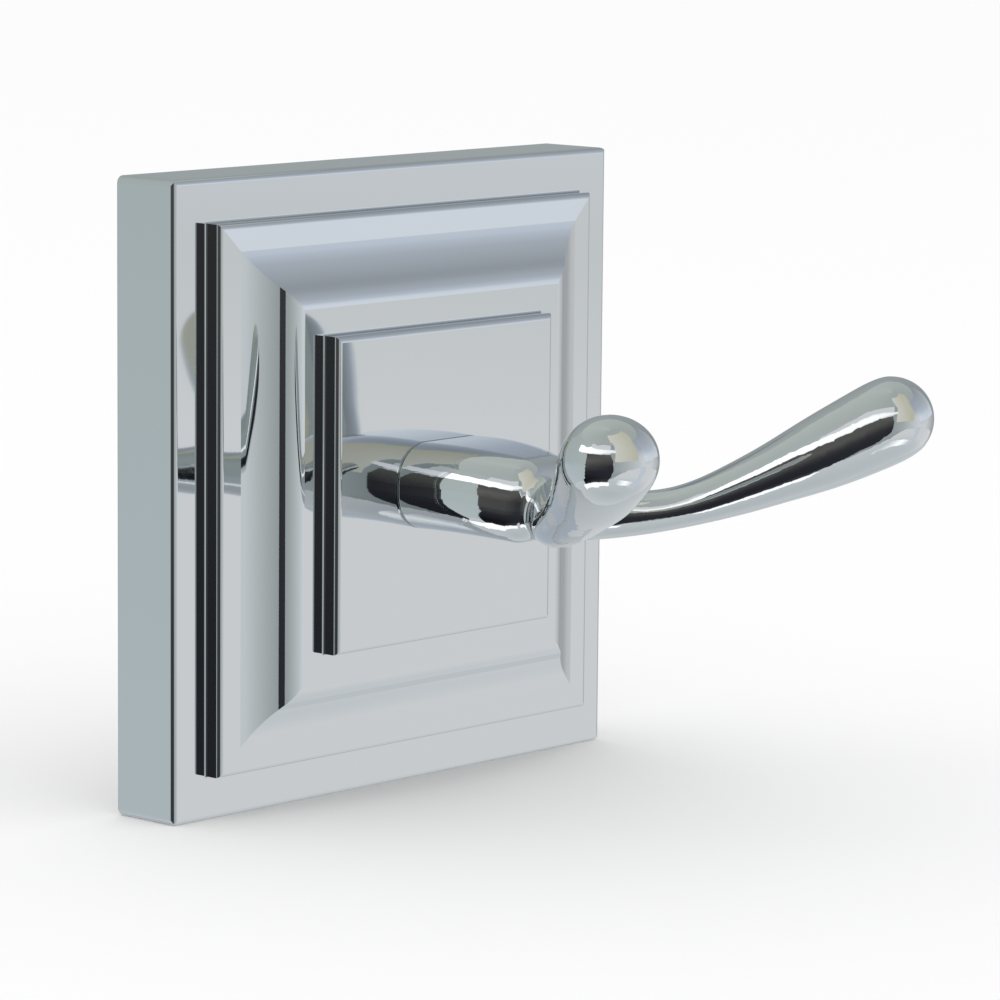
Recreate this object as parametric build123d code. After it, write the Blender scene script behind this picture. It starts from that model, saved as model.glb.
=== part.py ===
from build123d import *
from math import cos, radians, sin
import os

# Double robe hook on a square stepped wall plate, sizes in mm.
# Origin at the centre of the wall face, +Z up, +X right, the hook stands out along -Y.

# Wall plate, front moulding from the edge inwards
plate_side = 76.0
slab_depth = 9.4
rim_width = 5.3
step_height = 2.25
strip_width = 3.3
strip_rise = 0.2
cove_width = 5.5
cove_height = 3.5
cove_radius = 8.2
nosing_radius = 3.4
inner_flat_width = 4.9
panel_height = 2.25
edge_round = 0.7
root_round = 0.3
corner_round = 0.9

# Wall plate, hollow back
side_wall = 2.4
roof_wall = 2.4
boss_radius = 8.0
boss_height = 4.3
set_boss_radius = 3.1
set_boss_height = 2.2

# Hook stem, rounded sections from its foot to the fork
foot_width = 17.5
foot_height = 10.5
foot_corner = 4.7
foot_round = 0.35
waist_width = 16.6
waist_height = 10.4
waist_corner = 4.6
waist_length = 8.4
crown_width = 10.4
crown_height = 10.2
crown_corner = 4.5
stem_length = 17.6
crown_drop = 1.1
crown_rim = 0.7
crease_round = 1.2

# Prong centreline: a curve from inside the crown past neck and swell to the middle of the bulb,
# each reach measured from the front of the crown
fork_spread = 0.3
fork_sink = 3.2
fork_drop = 1.2
fork_splay = 20.0
fork_dip = 6.0
neck_spread = 9.3
neck_reach = 8.8
neck_drop = 1.6
swell_spread = 17.5
swell_reach = 20.1
swell_rise = 3.5
tip_spread = 25.2
tip_reach = 30.1
tip_rise = 9.8
tip_splay = 39.0
tip_lift = 28.0

# Prong section: upright oval root, thin neck, drop-shaped bulb
root_half_width = 2.4
root_half_height = 4.0
neck_half_width = 3.1
neck_half_height = 2.5
bulb_half_width = 5.6
bulb_half_height = 5.05
bulb_length = 5.2
cap_angle = 30.0

# Hook screw and its lock washer
screw_radius = 2.5
screw_length = 20.0
screw_head_radius = 4.75
screw_head_height = 3.3
screw_head_bevel = 0.8
screw_drive_width = 1.3
screw_drive_length = 6.0
screw_drive_depth = 1.6
tapped_depth = 12.0
washer_thickness = 1.2
washer_radius = 4.4
washer_split = 0.9
thread_clearance = 0.05
hole_clearance = 0.25

# Wall bracket: strip with two folded flanges
bracket_width = 26.0
bracket_gauge = 1.5
bracket_bend = 1.0
flange_gap = 0.6
bracket_clearance = 0.05
wall_hole_radius = 2.6
wall_hole_spacing = 40.0

# Set screw in the lower edge
set_radius = 2.0
set_depth = 3.7
set_recess = 0.5
set_length = 6.0
set_point_radius = 1.2
set_point_length = 0.8
set_socket_flats = 2.0
set_socket_depth = 2.0

# Levels and half sides that follow from the moulding
half_side = plate_side / 2
step_half = half_side - rim_width
cove_half = step_half - strip_width
nosing_half = cove_half - cove_width
panel_half = nosing_half - inner_flat_width
step_depth = slab_depth + step_height
strip_depth = step_depth + strip_rise
flat_depth = strip_depth + cove_height
panel_depth = flat_depth + panel_height
slab_roof = slab_depth - roof_wall
flat_roof = flat_depth - roof_wall
flange_depth = slab_roof - flange_gap
seat_depth = flat_roof - boss_height
head_depth = seat_depth - washer_thickness
inner_half = half_side - side_wall
waist_depth = panel_depth + waist_length
crown_depth = panel_depth + stem_length
crown_round = crown_corner - crown_rim
set_low = -half_side + set_recess
set_high = set_low + set_length
bracket_low = set_high + bracket_clearance
bracket_high = inner_half - bracket_clearance


def corner_at(shape, x, y):
    """The corner of a flat outline that lies at one point."""
    return shape.vertices().sort_by_distance(Vector(x, y, 0))[0]


def square_from(half_profile):
    """Mitred square solid whose two cross sections are the half profile and its mirror image."""
    profile = half_profile + mirror(half_profile, about=Plane.YZ)
    bar = extrude(profile, amount=half_side, both=True)
    return bar & Rot(0, 90, 0) * bar


def plate_profile():
    """Half of the plate's outer section, right of the middle."""
    outside = Polyline(
        (0, -panel_depth),
        (0, 0),
        (half_side, 0),
        (half_side, -slab_depth),
        (step_half, -slab_depth),
        (step_half, -step_depth),
        (cove_half, -strip_depth),
    )
    cove = RadiusArc((cove_half, -strip_depth), (nosing_half, -flat_depth), -cove_radius)
    inside = Polyline(
        (nosing_half, -flat_depth),
        (panel_half, -flat_depth),
        (panel_half, -panel_depth),
        (0, -panel_depth),
    )
    face = make_face(outside + cove + inside)
    face = fillet(corner_at(face, nosing_half, -flat_depth), nosing_radius)
    for x, y in (
        (half_side, -slab_depth),
        (step_half, -step_depth),
        (panel_half, -panel_depth),
    ):
        face = fillet(corner_at(face, x, y), edge_round)
    for x, y in ((step_half, -slab_depth), (panel_half, -flat_depth)):
        face = fillet(corner_at(face, x, y), root_round)
    return face


def hollow_profile():
    """Half of the section of the hollow behind the moulding."""
    return make_face(
        Polyline(
            (0, 0),
            (inner_half, 0),
            (inner_half, -slab_roof),
            (step_half - side_wall, -slab_roof),
            (nosing_half - side_wall, -flat_roof),
            (0, -flat_roof),
            close=True,
        )
    )


def toward_room(depth, x=0.0, z=0.0):
    """Work plane at a depth in front of the wall, facing the room."""
    return Plane(origin=(x, -depth, z), x_dir=(1, 0, 0), z_dir=(0, -1, 0))


def pin(radius, from_depth, to_depth):
    """Round bar on the hook's axis between two depths."""
    return extrude(toward_room(from_depth) * Circle(radius), amount=to_depth - from_depth)


def build_wall_plate():
    """Cast cover plate with its hollow back, screw boss and set screw boss."""
    outline = Plane.XZ * RectangleRounded(plate_side, plate_side, corner_round)
    plate = square_from(plate_profile()) & extrude(outline, amount=panel_depth)
    plate -= square_from(hollow_profile())
    plate += pin(boss_radius, seat_depth, flat_roof)
    set_foot = Plane(origin=(0, -set_depth, -inner_half), z_dir=(0, 0, 1))
    plate += extrude(set_foot * Circle(set_boss_radius), amount=set_boss_height)
    plate -= pin(screw_radius + hole_clearance, seat_depth, panel_depth)
    set_hole = Plane(origin=(0, -set_depth, -half_side), z_dir=(0, 0, 1))
    set_hole_length = side_wall + set_boss_height
    plate -= extrude(set_hole * Circle(set_radius + thread_clearance), amount=set_hole_length)
    return plate


def build_stem():
    """Oval stem that narrows from its eased foot to a rounded crown at the fork."""
    sections = [
        toward_room(panel_depth) * RectangleRounded(foot_width, foot_height, foot_corner),
        toward_room(waist_depth) * RectangleRounded(waist_width, waist_height, waist_corner),
        toward_room(crown_depth, z=-crown_drop)
        * RectangleRounded(crown_width, crown_height, crown_corner),
    ]
    stem = loft(sections)
    stem = fillet(stem.faces().sort_by(Axis.Y)[0].edges(), crown_round)
    return fillet(stem.faces().sort_by(Axis.Y)[-1].edges(), foot_round)


def eased(share):
    """Smooth rise from 0 to 1 that starts and ends level."""
    return share * share * (3 - 2 * share)


def heading(splay, lift):
    """Direction that leans sideways by the splay and upwards by the lift, in degrees."""
    level = cos(radians(lift))
    return Vector(level * sin(radians(splay)), -level * cos(radians(splay)), sin(radians(lift)))


def between(start, end, share):
    """Value that eases from one size to another."""
    return start + (end - start) * eased(share)


def build_prong():
    """Right prong: ovals lofted along the centreline and over the bulb, closed by an egg cap."""
    fork = Vector(fork_spread, fork_sink - crown_depth, -fork_drop)
    neck = Vector(neck_spread, -crown_depth - neck_reach, -neck_drop)
    swell = Vector(swell_spread, -crown_depth - swell_reach, swell_rise)
    tip = Vector(tip_spread, -crown_depth - tip_reach, tip_rise)
    ends = (heading(fork_splay, -fork_dip), heading(tip_splay, tip_lift))
    centreline = Spline(fork, neck, swell, tip, tangents=ends)
    to_neck = (neck - fork).length
    neck_place = to_neck / (to_neck + (swell - neck).length + (tip - swell).length)

    def across(place):
        ahead = centreline % place
        return Plane(origin=centreline @ place, x_dir=Vector(0, 0, 1).cross(ahead), z_dir=ahead)

    sections = []
    for share in (0, 1 / 3, 2 / 3):
        width = between(root_half_width, neck_half_width, share)
        height = between(root_half_height, neck_half_height, share)
        sections.append(across(neck_place * share) * Ellipse(width, height))
    for share in (0, 0.2, 0.4, 0.6, 0.8, 1):
        width = between(neck_half_width, bulb_half_width, share)
        height = between(neck_half_height, bulb_half_height, share)
        sections.append(across(neck_place + (1 - neck_place) * share) * Ellipse(width, height))
    for angle in (cap_angle / 2, cap_angle):
        shrink = cos(radians(angle))
        end = across(1).offset(bulb_length * sin(radians(angle)))
        sections.append(end * Ellipse(bulb_half_width * shrink, bulb_half_height * shrink))
    ball_cap = Sphere(1, arc_size1=cap_angle, align=(Align.CENTER, Align.CENTER, Align.MIN))
    return loft(sections) + end * scale(ball_cap, by=(bulb_half_width, bulb_half_height, bulb_length))


def build_double_hook():
    """Stem and prong with a blended crease, made for one side, mirrored and tapped in the foot."""
    half_stem = split(build_stem(), bisect_by=Plane.YZ)
    half_prong = split(build_prong(), bisect_by=Plane.YZ)
    half = half_stem + half_prong
    seam = new_edges(half_stem, half_prong, combined=half)
    half = fillet([edge for edge in seam if edge.center().X > 0.01], crease_round)
    hook = half + mirror(half, about=Plane.YZ)
    return hook - pin(screw_radius + thread_clearance, panel_depth, panel_depth + tapped_depth)


def build_hook_screw():
    """Pan head machine screw with a single drive slot, head towards the wall."""
    head = pin(screw_head_radius, head_depth - screw_head_height, head_depth)
    head = chamfer(head.edges().sort_by(Axis.Y)[-1], screw_head_bevel)
    slot_floor = head_depth - screw_head_height + screw_drive_depth
    slot = toward_room(head_depth - screw_head_height) * Rectangle(screw_drive_length, screw_drive_width)
    head -= extrude(slot, amount=slot_floor - (head_depth - screw_head_height))
    return head + pin(screw_radius, head_depth, head_depth + screw_length)


def build_lock_washer():
    """Split spring washer between the screw head and the boss."""
    ring = pin(washer_radius, head_depth, seat_depth) - pin(
        screw_radius + hole_clearance, head_depth, seat_depth
    )
    above = toward_room(head_depth, z=washer_radius)
    return ring - extrude(above * Rectangle(washer_split, 2 * washer_radius), amount=washer_thickness)


def build_wall_bracket():
    """Steel strip against the wall, folded forward at its top and bottom."""
    section = make_face(
        Polyline(
            (0, bracket_low),
            (0, bracket_high),
            (-flange_depth, bracket_high),
            (-flange_depth, bracket_high - bracket_gauge),
            (-bracket_gauge, bracket_high - bracket_gauge),
            (-bracket_gauge, bracket_low + bracket_gauge),
            (-flange_depth, bracket_low + bracket_gauge),
            (-flange_depth, bracket_low),
            close=True,
        )
    )
    for y in (bracket_high, bracket_low):
        section = fillet(corner_at(section, 0, y), bracket_bend + bracket_gauge)
    for y in (bracket_high - bracket_gauge, bracket_low + bracket_gauge):
        section = fillet(corner_at(section, -bracket_gauge, y), bracket_bend)
    bracket = extrude(Plane.YZ * section, amount=bracket_width / 2, both=True)
    for z in (-wall_hole_spacing / 2, wall_hole_spacing / 2):
        bracket -= extrude(toward_room(0, z=z) * Circle(wall_hole_radius), amount=bracket_gauge)
    return bracket


def build_set_screw():
    """Socket grub screw that stands on the lower flange of the bracket."""
    axis = Plane(origin=(0, -set_depth, set_low), z_dir=(0, 0, 1))
    body = extrude(axis * Circle(set_radius), amount=set_length - set_point_length)
    shoulder = Plane(origin=(0, -set_depth, set_high - set_point_length), z_dir=(0, 0, 1))
    tip = shoulder.offset(set_point_length)
    point = loft([shoulder * Circle(set_radius), tip * Circle(set_point_radius)])
    socket = RegularPolygon(set_socket_flats / 2, 6, major_radius=False)
    return body + point - extrude(axis * socket, amount=set_socket_depth)


os.makedirs("parts", exist_ok=True)
export_step(build_wall_plate(), "parts/wall_plate.step")
export_step(build_double_hook(), "parts/double_hook.step")
export_step(build_hook_screw(), "parts/hook_screw.step")
export_step(build_lock_washer(), "parts/lock_washer.step")
export_step(build_wall_bracket(), "parts/wall_bracket.step")
export_step(build_set_screw(), "parts/set_screw.step")
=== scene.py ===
import math

import bpy
from bpy.props import FloatProperty, FloatVectorProperty, PointerProperty
from mathutils import Matrix, Vector


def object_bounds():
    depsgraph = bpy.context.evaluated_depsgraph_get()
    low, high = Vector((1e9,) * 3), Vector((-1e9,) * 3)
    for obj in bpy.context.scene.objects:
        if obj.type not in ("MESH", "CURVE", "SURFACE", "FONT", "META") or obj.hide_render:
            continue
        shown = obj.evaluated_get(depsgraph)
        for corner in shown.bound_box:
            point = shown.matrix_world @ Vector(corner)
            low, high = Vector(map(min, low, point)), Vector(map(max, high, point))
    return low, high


bl_info = {
    "name": "Robe Hook Studio",
    "version": (1, 0, 0),
    "blender": (4, 5, 0),
    "location": "3D View > Sidebar > Robe Hook",
    "description": "Finishes the pieces of a chromed robe hook and sets a plain studio around it",
    "category": "Object",
}

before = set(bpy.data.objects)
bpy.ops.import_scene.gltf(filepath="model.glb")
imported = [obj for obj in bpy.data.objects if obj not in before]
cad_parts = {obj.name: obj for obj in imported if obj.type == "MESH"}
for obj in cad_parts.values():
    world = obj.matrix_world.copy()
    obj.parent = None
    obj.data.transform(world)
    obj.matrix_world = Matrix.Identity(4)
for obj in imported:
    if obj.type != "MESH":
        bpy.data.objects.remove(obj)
CAD_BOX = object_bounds()

PLATE_NODE = "wall_plate"
HOOK_NODE = "double_hook"
BRACKET_NODE = "wall_bracket"
SCREW_NODES = ("hook_screw", "lock_washer", "set_screw")

# Hollow of the wall plate, a little over its own size.
# Its slope starts and ends at these half widths and depths.
HOLLOW_HALF = 0.0358
SLOPE_START = (0.0305, 0.0072)
SLOPE_END = (0.0215, 0.0132)

# Depth that still counts as the plate's wall face
WALL_SKIN = 0.00005

# Floor and reflected cards, in metres, and the largest facet of a card in degrees
FLOOR_SIDE = 12.0
NEAR_CARD = 3.0
LOW_CARD = 3.05
FAR_CARD = 3.1
UNDER_CARD = 3.15
CARD_FACET = 4.0
WHITE = (1.00, 1.00, 1.00)


# Colours and sizes a user may change


class ROBEHOOK_PG_finish(bpy.types.PropertyGroup):
    """Colours and polish of the metal pieces."""

    chrome: FloatVectorProperty(
        name="Chrome",
        description="Colour of the chrome plating seen straight on",
        subtype="COLOR",
        size=3,
        min=0.0,
        max=1.0,
        default=(0.568, 0.594, 0.612),
    )
    chrome_roughness: FloatProperty(
        name="Chrome roughness",
        description="How far the plating blurs what it mirrors",
        subtype="FACTOR",
        min=0.0,
        max=0.5,
        default=0.035,
    )
    ripple_size: FloatProperty(
        name="Ripple size",
        description="Width of the faint waves left by polishing",
        unit="LENGTH",
        min=0.001,
        max=0.05,
        default=0.009,
    )
    ripple_depth: FloatProperty(
        name="Ripple depth",
        description="Height of the faint waves left by polishing",
        unit="LENGTH",
        min=0.0,
        max=0.0001,
        precision=6,
        default=0.0000025,
    )
    cast: FloatVectorProperty(
        name="Unpolished back",
        description="Colour of the thinly plated casting behind the wall plate",
        subtype="COLOR",
        size=3,
        min=0.0,
        max=1.0,
        default=(0.47, 0.48, 0.485),
    )
    cast_roughness: FloatProperty(
        name="Back roughness",
        description="Roughness of the unpolished back of the wall plate",
        subtype="FACTOR",
        min=0.0,
        max=1.0,
        default=0.42,
    )
    steel: FloatVectorProperty(
        name="Zinc-plated steel",
        description="Colour of the hidden bracket and screws",
        subtype="COLOR",
        size=3,
        min=0.0,
        max=1.0,
        default=(0.60, 0.60, 0.575),
    )
    steel_roughness: FloatProperty(
        name="Steel roughness",
        description="Roughness of the hidden bracket and screws",
        subtype="FACTOR",
        min=0.0,
        max=1.0,
        default=0.36,
    )


class ROBEHOOK_PG_studio(bpy.types.PropertyGroup):
    """Camera and light of the plain studio."""

    camera_place: FloatVectorProperty(
        name="Camera place",
        description="Where the camera stands, with the object's origin at zero",
        subtype="TRANSLATION",
        unit="LENGTH",
        size=3,
        default=(-0.4451, -0.4291, 0.0868),
    )
    camera_turn: FloatProperty(
        name="Camera turn",
        description="Turn of the camera to the right from straight at the wall",
        unit="ROTATION",
        default=math.radians(47.85),
    )
    camera_dip: FloatProperty(
        name="Camera dip",
        description="How far the camera looks down",
        unit="ROTATION",
        default=math.radians(8.35),
    )
    camera_roll: FloatProperty(
        name="Camera roll",
        description="Tilt of the camera about its line of sight",
        unit="ROTATION",
        default=math.radians(0.53),
    )
    lens: FloatProperty(
        name="Lens",
        description="Focal length on a sensor 36 mm wide",
        unit="CAMERA",
        min=20.0,
        max=400.0,
        default=182.6,
    )
    floor_color: FloatVectorProperty(
        name="Floor",
        description="Colour of the floor",
        subtype="COLOR",
        size=3,
        min=0.0,
        max=1.0,
        default=(0.97, 0.97, 0.97),
    )
    sky_light: FloatProperty(
        name="Sky light",
        description="Strength of the even light from all round",
        min=0.0,
        max=3.0,
        default=1.0,
    )


# Shader node groups and materials


def node_group(name, inputs, outputs):
    """Empty shader group with its named sockets, and its two end nodes."""
    group = bpy.data.node_groups.new(name, "ShaderNodeTree")
    for label, kind, value in inputs:
        socket = group.interface.new_socket(label, in_out="INPUT", socket_type=kind)
        socket.default_value = value
    for label, kind in outputs:
        group.interface.new_socket(label, in_out="OUTPUT", socket_type=kind)
    start = group.nodes.new("NodeGroupInput")
    end = group.nodes.new("NodeGroupOutput")
    return group, start, end


def math_node(tree, operation, first, second, clamp=False):
    """Math node fed by sockets or numbers; returns its output socket."""
    node = tree.nodes.new("ShaderNodeMath")
    node.operation = operation
    node.use_clamp = clamp
    for place, value in enumerate((first, second)):
        if isinstance(value, bpy.types.NodeSocket):
            tree.links.new(value, node.inputs[place])
        else:
            node.inputs[place].default_value = value
    return node.outputs[0]


def noise_node(tree, vector, scale, detail):
    """Noise over a vector; scale is a socket or a number; returns the value socket."""
    node = tree.nodes.new("ShaderNodeTexNoise")
    node.inputs["Detail"].default_value = detail
    tree.links.new(vector, node.inputs["Vector"])
    if isinstance(scale, bpy.types.NodeSocket):
        tree.links.new(scale, node.inputs["Scale"])
    else:
        node.inputs["Scale"].default_value = scale
    return node.outputs["Fac"]


def mix_node(tree, kind, factor, first, second):
    """Mix node of one kind fed by sockets; returns its output socket."""
    node = tree.nodes.new("ShaderNodeMix")
    node.data_type = kind
    tree.links.new(factor, node.inputs["Factor"])
    tree.links.new(first, node.inputs["A"])
    tree.links.new(second, node.inputs["B"])
    return node.outputs["Result"]


def polished_metal_group():
    """Colour, roughness and height of a polished or brushed metal face."""
    name = "polished_metal"
    if name in bpy.data.node_groups:
        return bpy.data.node_groups[name]
    group, start, end = node_group(
        name,
        (
            ("Color", "NodeSocketColor", (0.6, 0.6, 0.6, 1.0)),
            ("Cloud Color", "NodeSocketColor", (0.55, 0.55, 0.55, 1.0)),
            ("Roughness", "NodeSocketFloat", 0.05),
            ("Roughness Spread", "NodeSocketFloat", 0.02),
            ("Ripple Scale", "NodeSocketFloat", 110.0),
            ("Grain Scale", "NodeSocketFloat", 4000.0),
            ("Grain Share", "NodeSocketFloat", 0.1),
        ),
        (
            ("Color", "NodeSocketColor"),
            ("Roughness", "NodeSocketFloat"),
            ("Height", "NodeSocketFloat"),
        ),
    )
    links = group.links
    place = group.nodes.new("ShaderNodeTexCoord").outputs["Object"]
    cloud = noise_node(group, place, scale=42.0, detail=3.0)
    wave = noise_node(group, place, start.outputs["Ripple Scale"], detail=1.0)
    grain = noise_node(group, place, start.outputs["Grain Scale"], detail=2.0)
    tint = mix_node(group, "RGBA", cloud, start.outputs["Color"], start.outputs["Cloud Color"])
    links.new(tint, end.inputs["Color"])
    haze = math_node(group, "SUBTRACT", math_node(group, "ADD", cloud, grain), 1.0)
    spread = math_node(group, "MULTIPLY", haze, start.outputs["Roughness Spread"])
    rough = math_node(group, "ADD", start.outputs["Roughness"], spread, clamp=True)
    links.new(rough, end.inputs["Roughness"])
    fine = math_node(group, "MULTIPLY", grain, start.outputs["Grain Share"])
    links.new(math_node(group, "ADD", wave, fine), end.inputs["Height"])
    return group


def metal_layer(tree, color, dull_share, roughness, spread, ripple_size, depth, grain_scale, grain_share):
    """Polished metal group set for one finish; returns its colour, roughness and height in metres."""
    dull = [dull_share * value for value in color]
    surface = tree.nodes.new("ShaderNodeGroup")
    surface.node_tree = polished_metal_group()
    surface.inputs["Color"].default_value = (*color, 1.0)
    surface.inputs["Cloud Color"].default_value = (*dull, 1.0)
    surface.inputs["Roughness"].default_value = roughness
    surface.inputs["Roughness Spread"].default_value = spread
    surface.inputs["Ripple Scale"].default_value = 1.0 / ripple_size
    surface.inputs["Grain Scale"].default_value = grain_scale
    surface.inputs["Grain Share"].default_value = grain_share
    height = math_node(tree, "MULTIPLY", surface.outputs["Height"], depth)
    return surface.outputs["Color"], surface.outputs["Roughness"], height


def chrome_layer(tree, ripple_share):
    """Mirror chrome with a share of the set polishing ripple."""
    finish = bpy.context.scene.robe_hook_finish
    return metal_layer(
        tree,
        finish.chrome,
        dull_share=0.985,
        roughness=finish.chrome_roughness,
        spread=0.02,
        ripple_size=finish.ripple_size,
        depth=finish.ripple_depth * ripple_share,
        grain_scale=3500.0,
        grain_share=0.02,
    )


def cast_layer(tree):
    """Thinly plated casting that was never polished."""
    finish = bpy.context.scene.robe_hook_finish
    return metal_layer(
        tree,
        finish.cast,
        dull_share=0.8,
        roughness=finish.cast_roughness,
        spread=0.15,
        ripple_size=0.003,
        depth=0.00003,
        grain_scale=1100.0,
        grain_share=0.5,
    )


def sheet_layer(tree):
    """Zinc plating on rolled steel strip."""
    finish = bpy.context.scene.robe_hook_finish
    return metal_layer(
        tree,
        finish.steel,
        dull_share=0.84,
        roughness=finish.steel_roughness,
        spread=0.12,
        ripple_size=0.004,
        depth=0.00002,
        grain_scale=900.0,
        grain_share=0.3,
    )


def turned_layer(tree):
    """Zinc plating on turned steel, a little smoother than on the strip."""
    finish = bpy.context.scene.robe_hook_finish
    return metal_layer(
        tree,
        finish.steel,
        dull_share=0.84,
        roughness=finish.steel_roughness * 0.8,
        spread=0.1,
        ripple_size=0.002,
        depth=0.00001,
        grain_scale=2500.0,
        grain_share=0.3,
    )


def back_mask(tree):
    """One in the hollow of the wall plate and on its wall face, and zero on the rest."""
    place = tree.nodes.new("ShaderNodeSeparateXYZ")
    tree.links.new(tree.nodes.new("ShaderNodeTexCoord").outputs["Object"], place.inputs[0])
    across = math_node(tree, "ABSOLUTE", place.outputs["X"], 0.0)
    upright = math_node(tree, "ABSOLUTE", place.outputs["Z"], 0.0)
    side = math_node(tree, "MAXIMUM", across, upright)
    roof = tree.nodes.new("ShaderNodeMapRange")
    tree.links.new(side, roof.inputs["Value"])
    for end, (half, depth) in (("Min", SLOPE_END), ("Max", SLOPE_START)):
        roof.inputs["From " + end].default_value = half
        roof.inputs["To " + end].default_value = depth
    to_roof = math_node(tree, "ADD", place.outputs["Y"], roof.outputs["Result"])
    under_roof = math_node(tree, "GREATER_THAN", to_roof, 0.0)
    within = math_node(tree, "LESS_THAN", side, HOLLOW_HALF)
    hollow = math_node(tree, "MULTIPLY", within, under_roof)
    wall_face = math_node(tree, "GREATER_THAN", place.outputs["Y"], -WALL_SKIN)
    return math_node(tree, "MAXIMUM", wall_face, hollow)


def metal_material(name, color):
    """Bare metal material that shows in a plain view with the given colour."""
    material = bpy.data.materials.new(name)
    material.use_nodes = True
    material.diffuse_color = (*color, 1.0)
    material.node_tree.nodes["Principled BSDF"].inputs["Metallic"].default_value = 1.0
    return material


def lay_on(tree, color, roughness, height):
    """Feeds a layer's colour, roughness and height in metres to the material's shader."""
    shader = tree.nodes["Principled BSDF"]
    bump = tree.nodes.new("ShaderNodeBump")
    bump.inputs["Strength"].default_value = 1.0
    bump.inputs["Distance"].default_value = 1.0
    tree.links.new(color, shader.inputs["Base Color"])
    tree.links.new(roughness, shader.inputs["Roughness"])
    tree.links.new(height, bump.inputs["Height"])
    tree.links.new(bump.outputs["Normal"], shader.inputs["Normal"])


def dress(node, material):
    """Gives a CAD node its material."""
    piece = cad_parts[node]
    piece.data.materials.clear()
    piece.data.materials.append(material)


class ROBEHOOK_OT_wall_plate(bpy.types.Operator):
    """Polish and chrome the stepped wall plate and leave its back unpolished"""

    bl_idname = "robe_hook.wall_plate"
    bl_label = "Wall Plate"

    def execute(self, context):
        material = metal_material("plate_chrome_finish", context.scene.robe_hook_finish.chrome)
        tree = material.node_tree
        front_color, front_roughness, front_height = chrome_layer(tree, ripple_share=1.0)
        back_color, back_roughness, back_height = cast_layer(tree)
        mask = back_mask(tree)
        color = mix_node(tree, "RGBA", mask, front_color, back_color)
        roughness = mix_node(tree, "FLOAT", mask, front_roughness, back_roughness)
        height = mix_node(tree, "FLOAT", mask, front_height, back_height)
        lay_on(tree, color, roughness, height)
        dress(PLATE_NODE, material)
        return {"FINISHED"}


class ROBEHOOK_OT_double_hook(bpy.types.Operator):
    """Polish and chrome the forked hook"""

    bl_idname = "robe_hook.double_hook"
    bl_label = "Double Hook"

    def execute(self, context):
        material = metal_material("hook_chrome_finish", context.scene.robe_hook_finish.chrome)
        lay_on(material.node_tree, *chrome_layer(material.node_tree, ripple_share=1.6))
        dress(HOOK_NODE, material)
        return {"FINISHED"}


class ROBEHOOK_OT_fixings(bpy.types.Operator):
    """Give the bracket, the screws and the washer their zinc-plated steel"""

    bl_idname = "robe_hook.fixings"
    bl_label = "Bracket and Screws"

    def execute(self, context):
        color = context.scene.robe_hook_finish.steel
        sheet = metal_material("bracket_zinc", color)
        lay_on(sheet.node_tree, *sheet_layer(sheet.node_tree))
        turned = metal_material("screw_zinc", color)
        lay_on(turned.node_tree, *turned_layer(turned.node_tree))
        dress(BRACKET_NODE, sheet)
        for node in SCREW_NODES:
            dress(node, turned)
        return {"FINISHED"}


# Plain studio


def bearing(azimuth, elevation):
    """Unit vector towards a bearing: azimuth 0 is out from the wall, 90 to the right."""
    turn = math.radians(azimuth)
    lift = math.radians(elevation)
    return Vector((math.sin(turn) * math.cos(lift), -math.cos(turn) * math.cos(lift), math.sin(lift)))


def card_material():
    """Plain glow in the colour painted on each card."""
    name = "card_glow"
    if name in bpy.data.materials:
        return bpy.data.materials[name]
    material = bpy.data.materials.new(name)
    material.use_nodes = True
    tree = material.node_tree
    tree.nodes.remove(tree.nodes["Principled BSDF"])
    paint = tree.nodes.new("ShaderNodeAttribute")
    paint.attribute_name = "tone"
    glow = tree.nodes.new("ShaderNodeEmission")
    tree.links.new(paint.outputs["Color"], glow.inputs["Color"])
    tree.links.new(glow.outputs[0], tree.nodes["Material Output"].inputs["Surface"])
    return material


def finer_rows(rows):
    """Rows of a card with more rows blended in, so that no facet is taller than the largest one."""
    levels = [rows[0]]
    for low, high in zip(rows, rows[1:]):
        parts = max(1, math.ceil((high[0] - low[0]) / CARD_FACET))
        for part in range(1, parts + 1):
            share = part / parts
            places = [low[side] + (high[side] - low[side]) * share for side in (0, 1, 2)]
            tones = [Vector(low[side]).lerp(Vector(high[side]), share) for side in (3, 4)]
            levels.append((*places, *tones))
    return levels


def studio_card(name, distance, rows):
    """Curved card around the object that shows only in reflections.

    Each row gives an elevation, the azimuths of its two ends and the tones there.
    """
    widest = max(right - left for _, left, right, _, _ in rows)
    columns = max(2, math.ceil(widest / CARD_FACET))
    levels = finer_rows(rows)
    corners = []
    tones = []
    for elevation, left, right, left_tone, right_tone in levels:
        for column in range(columns + 1):
            share = column / columns
            corners.append(bearing(left + (right - left) * share, elevation) * distance)
            tones.append(Vector(left_tone).lerp(Vector(right_tone), share))
    faces = []
    for row in range(len(levels) - 1):
        for column in range(columns):
            first = row * (columns + 1) + column
            faces.append((first, first + 1, first + columns + 2, first + columns + 1))
    mesh = bpy.data.meshes.new(name)
    mesh.from_pydata(corners, [], faces)
    paint = mesh.color_attributes.new("tone", "FLOAT_COLOR", "POINT")
    for place, tone in enumerate(tones):
        paint.data[place].color = (*tone, 1.0)
    mesh.materials.append(card_material())
    card = bpy.data.objects.new(name, mesh)
    bpy.context.scene.collection.objects.link(card)
    card.visible_camera = False
    card.visible_diffuse = False
    card.visible_shadow = False
    card.visible_transmission = False


def band_card(name, distance, left, right, levels):
    """Studio card with upright ends; each level gives an elevation and the tones of its two ends."""
    studio_card(name, distance, [(elevation, left, right, *tones) for elevation, *tones in levels])


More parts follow.
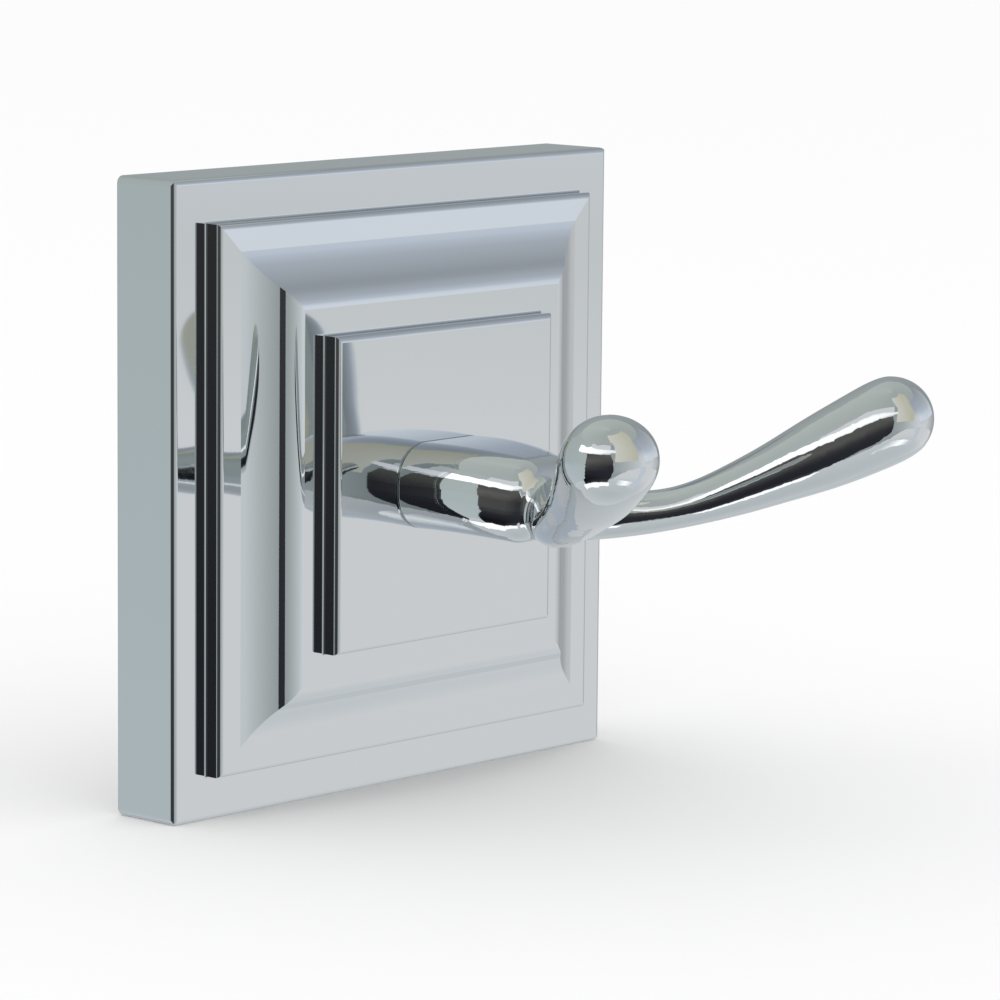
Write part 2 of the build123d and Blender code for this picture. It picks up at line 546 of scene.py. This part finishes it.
def dark_cards():
    """Dark screen to the left and the bright strip over it."""
    black = (0.008, 0.009, 0.012)
    dark = (0.035, 0.037, 0.045)
    dim = (0.10, 0.098, 0.094)
    brown = (0.19, 0.18, 0.165)
    studio_card(
        "dark_screen",
        NEAR_CARD,
        (
            (-50.0, -118.0, -50.0, black, dim),
            (-40.0, -111.0, -43.0, black, dark),
            (-22.0, -101.0, -37.0, dark, dark),
            (-10.0, -99.0, -37.0, dim, dark),
            (4.0, -98.0, -38.0, brown, dim),
            (20.0, -97.0, -43.0, dim, brown),
        ),
    )
    hot = (2.3, 2.3, 2.3)
    faded = (1.3, 1.3, 1.3)
    studio_card(
        "key_strip",
        NEAR_CARD,
        (
            (21.0, -126.0, -66.0, hot, faded),
            (24.0, -126.0, -30.0, hot, faded),
            (30.0, -126.0, -30.0, hot, faded),
            (35.0, -126.0, -82.0, hot, faded),
        ),
    )


def low_cards():
    """Bright strips below the object, the pale ground and a cool screen to the right."""
    glow = (1.8, 1.8, 1.8)
    soft = (0.86, 0.89, 0.91)
    under = (0.74, 0.77, 0.78)
    cool = (0.86, 0.92, 1.00)
    studio_card(
        "low_strip",
        NEAR_CARD,
        (
            (-61.0, -150.0, -45.0, glow, glow),
            (-51.0, -130.0, -45.0, glow, glow),
        ),
    )
    band_card("low_glow_left", NEAR_CARD, -26.0, 0.0, ((-56.0, soft, glow), (-44.0, soft, glow)))
    band_card("low_glow_right", NEAR_CARD, 0.0, 26.0, ((-56.0, glow, soft), (-44.0, glow, soft)))
    ground = ((-89.0, under, under), (-46.0, soft, soft), (-33.0, WHITE, WHITE))
    band_card("under_screen", UNDER_CARD, -180.0, 180.0, ground)
    band_card("low_screen", LOW_CARD, 26.0, 42.0, ((-55.0, cool, cool), (-13.0, cool, cool)))


def front_cards():
    """Warm, grey and light screens in front of the object."""
    warm = (0.78, 0.75, 0.58)
    cream = (0.97, 0.95, 0.84)
    studio_card(
        "warm_screen",
        NEAR_CARD,
        (
            (2.0, -34.0, 18.0, cream, warm),
            (42.0, -32.0, 22.0, cream, warm),
            (72.0, -56.0, 46.0, cream, warm),
        ),
    )
    grey = (0.46, 0.50, 0.49)
    middle = (0.70, 0.74, 0.74)
    light = (1.00, 1.02, 1.03)
    studio_card(
        "front_screen",
        FAR_CARD,
        (
            (-43.0, -43.0, -41.0, grey, grey),
            (-30.0, -43.0, -24.0, grey, grey),
            (-18.0, -43.0, -4.0, grey, middle),
            (45.0, -43.0, -4.0, grey, middle),
        ),
    )
    studio_card(
        "front_edge",
        FAR_CARD,
        (
            (-18.0, -4.0, -3.0, middle, middle),
            (-13.0, -4.0, 36.0, middle, light),
            (8.0, -4.0, 36.0, middle, light),
            (24.0, -4.0, 36.0, middle, (0.58, 0.63, 0.72)),
            (45.0, -4.0, 36.0, middle, (0.50, 0.55, 0.61)),
        ),
    )


def side_cards():
    """Screens to the left, behind and to the right of the object."""
    band_card(
        "side_screen",
        FAR_CARD,
        -175.0,
        -96.0,
        (
            (-43.0, (0.74, 0.82, 0.86), (0.70, 0.77, 0.77)),
            (-12.0, (0.70, 0.78, 0.82), (0.68, 0.75, 0.74)),
            (-3.0, (0.57, 0.65, 0.66), (0.66, 0.73, 0.70)),
            (45.0, (0.60, 0.66, 0.63), (0.66, 0.71, 0.67)),
        ),
    )
    band_card(
        "back_screen",
        FAR_CARD,
        95.0,
        185.0,
        (
            (-50.0, (0.80, 0.83, 0.84), (0.58, 0.61, 0.62)),
            (-20.0, (0.80, 0.83, 0.84), (0.52, 0.55, 0.56)),
            (0.0, (0.40, 0.44, 0.45), (0.40, 0.44, 0.45)),
            (9.0, (0.36, 0.39, 0.40), (0.36, 0.39, 0.40)),
            (18.0, (0.40, 0.43, 0.44), (0.46, 0.49, 0.49)),
            (45.0, (0.46, 0.49, 0.50), (0.58, 0.62, 0.59)),
        ),
    )
    band_card(
        "right_screen",
        FAR_CARD,
        36.0,
        95.0,
        (
            (-7.5, WHITE, WHITE),
            (-5.0, (0.90, 0.91, 0.91), (0.90, 0.91, 0.91)),
            (0.0, (1.06, 1.10, 1.17), (0.95, 0.99, 1.05)),
            (7.0, (1.02, 1.09, 1.19), (0.80, 0.83, 0.87)),
            (14.0, (0.78, 0.85, 0.98), (0.66, 0.70, 0.74)),
            (24.0, (0.64, 0.69, 0.77), (0.58, 0.61, 0.64)),
            (45.0, (0.53, 0.57, 0.63), (0.42, 0.45, 0.48)),
        ),
    )
    shade = (0.25, 0.27, 0.29)
    band_card("edge_screen", NEAR_CARD, 58.0, 120.0, ((-15.0, WHITE, shade), (-1.0, WHITE, shade)))


def top_cards():
    """Screens overhead, darker in front than behind."""
    top = (0.71, 0.76, 0.71)
    high = (0.59, 0.63, 0.60)
    band_card("top_left", FAR_CARD, -180.0, -60.0, ((45.0, top, high), (89.0, top, high)))
    band_card("top_front", FAR_CARD, -60.0, 60.0, ((45.0, high, high), (89.0, high, high)))
    band_card("top_right", FAR_CARD, 60.0, 180.0, ((45.0, high, top), (89.0, high, top)))


def softbox(name, azimuth, elevation, distance, width, height, radiance):
    """Rectangular white lamp of a given brightness that faces the object."""
    data = bpy.data.lights.new(name, "AREA")
    data.shape = "RECTANGLE"
    data.size = width
    data.size_y = height
    data.energy = radiance * math.pi * width * height
    lamp = bpy.data.objects.new(name, data)
    bpy.context.scene.collection.objects.link(lamp)
    out = bearing(azimuth, elevation)
    facing = out.to_track_quat("Z", "Y").to_matrix().to_4x4()
    lamp.matrix_world = Matrix.Translation(out * distance) @ facing
    lamp.visible_camera = False
    lamp.visible_glossy = False


def white_world(strength):
    """Even light from all round that is plain white behind the object and in its reflections."""
    world = bpy.data.worlds.new("studio_white")
    world.use_nodes = True
    bpy.context.scene.world = world
    tree = world.node_tree
    backing = tree.nodes["Background"]
    path = tree.nodes.new("ShaderNodeLightPath")
    seen = math_node(tree, "MAXIMUM", path.outputs["Is Camera Ray"], path.outputs["Is Glossy Ray"])
    seen = math_node(tree, "MAXIMUM", seen, path.outputs["Is Transmission Ray"])
    level = tree.nodes.new("ShaderNodeMix")
    level.inputs["A"].default_value = strength
    level.inputs["B"].default_value = 1.0
    tree.links.new(seen, level.inputs["Factor"])
    tree.links.new(level.outputs["Result"], backing.inputs["Strength"])
    backing.inputs["Color"].default_value = (*WHITE, 1.0)


def pale_floor(color, height):
    """Plain pale floor under the object."""
    material = bpy.data.materials.new("pale_floor")
    material.use_nodes = True
    shader = material.node_tree.nodes["Principled BSDF"]
    shader.inputs["Base Color"].default_value = (*color, 1.0)
    shader.inputs["Roughness"].default_value = 0.9
    shader.inputs["Specular IOR Level"].default_value = 0.0
    half = FLOOR_SIDE / 2
    corners = [(-half, -half, 0.0), (half, -half, 0.0), (half, half, 0.0), (-half, half, 0.0)]
    mesh = bpy.data.meshes.new("pale_floor")
    mesh.from_pydata(corners, [], [(0, 1, 2, 3)])
    mesh.materials.append(material)
    floor = bpy.data.objects.new("pale_floor", mesh)
    bpy.context.scene.collection.objects.link(floor)
    floor.location = (0.0, 0.0, height)
    floor.visible_glossy = False


def photo_camera(studio):
    """Camera at the photograph's viewing angle."""
    data = bpy.data.cameras.new("photo_camera")
    data.sensor_width = 36.0
    data.lens = studio.lens
    data.clip_start = 0.01
    data.clip_end = 100.0
    camera = bpy.data.objects.new("photo_camera", data)
    bpy.context.scene.collection.objects.link(camera)
    turn = Matrix.Rotation(-studio.camera_turn, 4, "Z")
    dip = Matrix.Rotation(math.pi / 2 - studio.camera_dip, 4, "X")
    roll = Matrix.Rotation(studio.camera_roll, 4, "Z")
    camera.matrix_world = Matrix.Translation(studio.camera_place) @ turn @ dip @ roll
    bpy.context.scene.camera = camera


class ROBEHOOK_OT_studio(bpy.types.Operator):
    """Set the floor, the light, the reflected cards and the camera"""

    bl_idname = "robe_hook.studio"
    bl_label = "Studio"

    def execute(self, context):
        studio = context.scene.robe_hook_studio
        context.scene.view_settings.view_transform = "Standard"
        white_world(studio.sky_light)
        pale_floor(studio.floor_color, CAD_BOX[0].z)
        softbox(
            "key_softbox",
            azimuth=-70.0,
            elevation=50.0,
            distance=1.5,
            width=1.0,
            height=0.7,
            radiance=0.5,
        )
        dark_cards()
        low_cards()
        front_cards()
        side_cards()
        top_cards()
        photo_camera(studio)
        return {"FINISHED"}


class ROBEHOOK_PT_panel(bpy.types.Panel):
    """Sidebar panel with the finishes, the studio and the steps that build them"""

    bl_idname = "ROBEHOOK_PT_panel"
    bl_label = "Robe Hook"
    bl_space_type = "VIEW_3D"
    bl_region_type = "UI"
    bl_category = "Robe Hook"

    def draw(self, context):
        layout = self.layout
        for group in (context.scene.robe_hook_finish, context.scene.robe_hook_studio):
            box = layout.box()
            for name in group.__annotations__:
                box.prop(group, name)
        for operator in OPERATORS:
            layout.operator(operator.bl_idname)


OPERATORS = (
    ROBEHOOK_OT_wall_plate,
    ROBEHOOK_OT_double_hook,
    ROBEHOOK_OT_fixings,
    ROBEHOOK_OT_studio,
)
CLASSES = (ROBEHOOK_PG_finish, ROBEHOOK_PG_studio, *OPERATORS, ROBEHOOK_PT_panel)


def register():
    """Adds the classes and the settings that they keep on the scene."""
    for item in CLASSES:
        bpy.utils.register_class(item)
    bpy.types.Scene.robe_hook_finish = PointerProperty(type=ROBEHOOK_PG_finish)
    bpy.types.Scene.robe_hook_studio = PointerProperty(type=ROBEHOOK_PG_studio)


def unregister():
    """Takes the settings and the classes away again."""
    del bpy.types.Scene.robe_hook_studio
    del bpy.types.Scene.robe_hook_finish
    for item in reversed(CLASSES):
        bpy.utils.unregister_class(item)


def main():
    """Registers the add-on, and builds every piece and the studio."""
    register()
    bpy.ops.robe_hook.wall_plate()
    bpy.ops.robe_hook.double_hook()
    bpy.ops.robe_hook.fixings()
    bpy.ops.robe_hook.studio()


if __name__ == "__main__":
    main()
